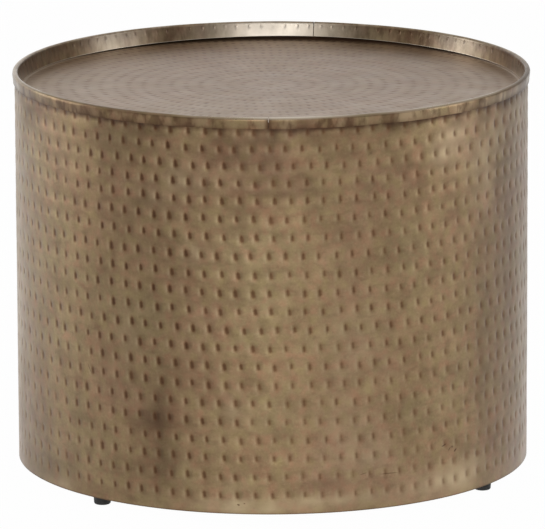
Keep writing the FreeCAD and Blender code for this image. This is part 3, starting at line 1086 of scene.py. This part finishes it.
def make_rim_strip(name, node, start, end, lip_brass, wall_brass):
    """One folded strip of the rim between two seams."""
    surface = Surface()
    half_gap = RIM_SEAM_GAP / 2 / RIM_OUTER
    start = math.radians(start) + half_gap
    end = math.radians(end) - half_gap
    azimuth, dashes = dash_row(start, end)
    ring = on_circle(azimuth, RIM_OUTER, RIM_TOP)
    ripple = LIP_RIPPLE_SHARE * wave(ring, LIP_RIPPLE_LENGTH, 7)
    edge_wave = LIP_EDGE_WAVE * (wave(ring, LIP_EDGE_LENGTH, 6) + ripple)
    dressing = wave(ring, LIP_SWELL_LENGTH, 8)
    smears = wave(ring, SMEAR_LENGTH, 10)
    to_end = np.minimum(azimuth - start, end - azimuth) * RIM_OUTER
    seams = RIM_SEAM_TARNISH * np.exp(-(to_end / RIM_SEAM_REACH) ** 2)
    # Stretches of painted highlight and painted shade along the roll and lip
    edge_highlight = near_azimuth(azimuth, *ROLL_HIGHLIGHT_STRETCH)
    lip_highlight = near_azimuth(azimuth, *LIP_HIGHLIGHT_STRETCH)
    lip_shade = near_azimuth(azimuth, *LIP_SHADE_STRETCH)
    roll_shade = near_azimuths(azimuth, ROLL_SHADE_STRETCHES)
    # Painted highlights and painted shade along the wall
    wall_highlight = near_azimuths(azimuth, WALL_HIGHLIGHT_STRETCHES).clip(0, 1)
    wall_shade = near_azimuths(azimuth, WALL_SHADE_STRETCHES)
    lifted = WALL_FOOT_LIFT * near_azimuth(azimuth, *WALL_LIFTED)

    def wall_tones(rise):
        """Tarnish, rubbed and highlight shares of the wall at a share of its height, with painted
        highlights and painted shade in stretches and a painted highlight along the foot's edge.
        """
        tarnish = (0.02 + 0.45 * rise + 0.4 * smears * rise + wall_shade).clip(0, 1) * (1 - 0.8 * wall_highlight)
        rubbed = (0.2 * (1 - rise) - 0.3 * smears + 0.5 * wall_highlight).clip(0, 1)
        least = WALL_FOOT_HIGHLIGHT if rise < WALL_FOOT_SHARE else 0
        return {"tarnish": tarnish, "rubbed": rubbed, "bare": (0.85 * wall_highlight).clip(least, 1)}

    def edge_tones(up, on_lip, drop):
        """Tarnish, rubbed and highlight shares of the roll or, at a share of its depth, of the lip; the
        roll's crest gets painted highlights, dimmed by painted shade in stretches.
        """
        # Painted highlight on the roll's crest, strongest at the front
        lit_crest = max(0, up) ** 2
        tarnish = 0.1 * (1 - edge_highlight) + 0.7 * roll_shade + seams
        rubbed = (0.5 + 0.5 * edge_highlight) * lit_crest
        bare = (0.9 * edge_highlight + 0.35 * lip_highlight + 0.1 + 0.5 * smears - roll_shade).clip(0, 0.95) * lit_crest
        if on_lip:
            stains_and_light = 0.36 + 0.3 * dressing + 0.25 * smears - 0.3 * lip_highlight + 0.3 * lip_shade
            tarnish = (stains_and_light + 0.4 * drop ** 4 + seams).clip(0, 1)
            rubbed = (0.9 * smears - 0.7 * dressing + 0.4 * lip_highlight).clip(0, 0.6)
        return {"tarnish": tarnish, "rubbed": rubbed, "bare": bare}

    faces = []
    backs = []
    for radius, height, out, up in rim_stations():
        on_wall = radius < WALL_FACE + WALL_WIDTH
        on_lip = radius > RIM_OUTER - LIP_WIDTH and height < RIM_TOP - LIP_BELOW_TOP
        along = (height - RIM_TOP + DASH_BELOW_TOP) / DASH_HALF_HEIGHT
        pit = dashes * max(0, 1 - along ** 2) if on_wall else np.zeros_like(azimuth)
        rise = (height - WALL_FOOT) / (ROLL_LEVEL - WALL_FOOT)
        lift = lifted * max(0, 1 - rise) if on_wall else 0
        drop = (RIM_TOP - height) / LIP_DEPTH if on_lip else 0
        ding = wave(on_circle(azimuth, radius, height), RIM_DING_LENGTH, 9)
        swell = (WALL_DING if on_wall else RIM_DING) * ding
        if on_lip:
            swell = (LIP_SWELL * dressing * drop + swell).clip(*LIP_SWELL_LIMITS)
        tones = wall_tones(rise) if on_wall else edge_tones(up, on_lip, drop)
        shift = edge_wave * drop ** 3 + lift
        face_radius = radius + pit * DASH_DEPTH + swell * (WALL_DING_SHARE if on_wall else out)
        face_height = height + swell * up + shift
        faces.append(surface.ring(azimuth, face_radius, face_height, dent=DASH_TONE * pit, **tones))
        back_radius = radius - RIM_SHEET * out + (swell.clip(0, 1) if on_lip else 0)
        back_height = height - RIM_SHEET * up + shift
        backs.append(surface.ring(azimuth, back_radius, back_height, tarnish=RIM_BACK_TARNISH))
    lines = faces + backs[::-1]
    for inner, outer in zip(lines, lines[1:] + lines[:1]):
        surface.join(outer, inner, closed=False)
    for side in (0, -1):
        front = [int(line[0][side]) for line in faces]
        back = [int(line[0][side]) for line in backs]
        for cap in zip(front, back, back[1:], front[1:]):
            surface.faces.append(cap if side == -1 else cap[::-1])
    wall_faces = []
    for number, corners in enumerate(surface.faces):
        middle = np.mean([surface.points[corner] for corner in corners], axis=0)
        if np.hypot(middle[0], middle[1]) < WALL_FACE + WALL_BRASS_SHARE * ROLL_RADIUS:
            wall_faces.append(number)
    surface.piece(name, "tray", [node], "rim_brass", lip_brass, wall_brass, second=wall_faces)


def finish_nodes(material, *nodes):
    """Gives CAD nodes that stay in view their material."""
    for node in nodes:
        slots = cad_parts[node].data.materials
        slots.clear()
        slots.append(material)


def make_world():
    """White low down and at the back, greyer in front and above, with less light for unseen rays."""
    world = bpy.data.worlds.new("studio")
    bpy.context.scene.world = world
    tree = Tree(world)
    direction = tree.add("TexCoord").outputs["Generated"]
    rise = tree.add("SeparateXYZ", Vector=direction).outputs["Z"]
    side = math.radians(BACKDROP_AZIMUTH)
    backward = tree.add("VectorMath")
    backward.operation = "DOT_PRODUCT"
    tree.feed(backward.inputs[0], direction)
    tree.feed(backward.inputs[1], (math.sin(side), -math.cos(side), 0))
    level = tree.range(backward.outputs["Value"], *BACKDROP_EDGE, FRONT_GREY, 1.0)
    wall = tree.range(rise, *HORIZON_EDGE, 1.0, level)
    ceiling = tree.range(rise, *CEILING_EDGE, wall, CEILING_GREY)
    strength = tree.range(tree.seen_rays(), 0.0, 1.0, WORLD_FILL, 1.0)
    tree.set(tree.nodes["Background"], Color=ceiling, Strength=strength)


def make_floor():
    """Pale floor that shows white and keeps a faint shadow."""
    mesh = bpy.data.meshes.new("studio_floor")
    corners = [(x * FLOOR_HALF, y * FLOOR_HALF, 0) for x, y in ((-1, -1), (1, -1), (1, 1), (-1, 1))]
    mesh.from_pydata(corners, [], [(0, 1, 2, 3)])
    material = bpy.data.materials.new("studio_floor")
    tree = Tree(material)
    tree.nodes.remove(tree.nodes["Principled BSDF"])
    matte = tree.add("BsdfDiffuse", Color=FLOOR_ALBEDO)
    glow = tree.add("Emission")
    white = tree.range(tree.seen_rays(), 0.0, 1.0, 0.0, FLOOR_WHITE_SHARE)
    blend = tree.add("MixShader", Fac=white)
    tree.feed(blend.inputs[1], matte.outputs["BSDF"])
    tree.feed(blend.inputs[2], glow.outputs["Emission"])
    tree.set(tree.nodes["Material Output"], Surface=blend.outputs["Shader"])
    mesh.materials.append(material)
    floor = add_object("studio_floor", mesh)


def from_target(azimuth, elevation, distance):
    """A point at that direction and distance from the camera's target."""
    side, rise = math.radians(azimuth), math.radians(elevation)
    away = Vector((math.sin(side) * math.cos(rise), -math.cos(side) * math.cos(rise), math.sin(rise)))
    return CAMERA_TARGET + distance * away


def make_lights():
    """Large softboxes round the table."""
    for name, azimuth, distance, foot, width, height, watts in SOFTBOXES:
        light = bpy.data.lights.new(name, "AREA")
        light.shape = "RECTANGLE"
        light.size = width
        light.size_y = height
        light.energy = watts
        lamp = add_object(name, light)
        lamp.location = from_target(azimuth, 0, distance)
        lamp.location.z = foot + height / 2
        lamp.rotation_euler = (CAMERA_TARGET - lamp.location).to_track_quat("-Z", "Y").to_euler()


def make_camera():
    """Camera at the photograph's viewing angle."""
    lens = bpy.data.cameras.new("camera")
    lens.sensor_width = SENSOR
    lens.lens = FOCAL_PIXELS * SENSOR / IMAGE_WIDTH
    lens.clip_end = CAMERA_REACH
    place = from_target(CAMERA_AZIMUTH, CAMERA_ELEVATION, CAMERA_DISTANCE)
    level = (CAMERA_TARGET - place).to_track_quat("-Z", "Y").to_matrix()
    turned = level @ Matrix.Rotation(math.radians(CAMERA_ROLL), 3, "Z")
    place = place + CAMERA_MOVE_RIGHT * turned.col[0] + CAMERA_MOVE_UP * turned.col[1]
    camera = add_object("camera", lens)
    camera.matrix_world = Matrix.Translation(place) @ turned.to_4x4()
    bpy.context.scene.camera = camera


make_shell(shell_finish())
make_tray_floor(tray_finish())
rim_brass = (lip_finish(), wall_finish())
make_rim_strip("rim_strip_right", "rim_band_right", RIM_FRONT_SEAM, RIM_BACK_SEAM, *rim_brass)
make_rim_strip("rim_strip_left", "rim_band_left", RIM_BACK_SEAM, RIM_FRONT_SEAM + 360, *rim_brass)
feet = [f"foot_{side}_{hand}" for side in ("front", "back") for hand in ("left", "right")]
frame_parts = ("seam_strip", "top_hoop", "cross_tube", "half_tube_front", "half_tube_back", "base_ring")
finish_nodes(black_paint(), *frame_parts)
finish_nodes(rubber(), *feet)
finish_nodes(felt(), "tray_pads")
plated_steel = bare_metal("plated_steel", PLATING, 2 * MM)
finish_nodes(plated_steel, "foot_washers", "foot_screws", "foot_nuts")
finish_nodes(bare_metal("dark_wire", WIRE, 1 * MM), "rim_wire")

make_world()
make_floor()
make_lights()
make_camera()
bpy.context.scene.view_settings.view_transform = "Standard"
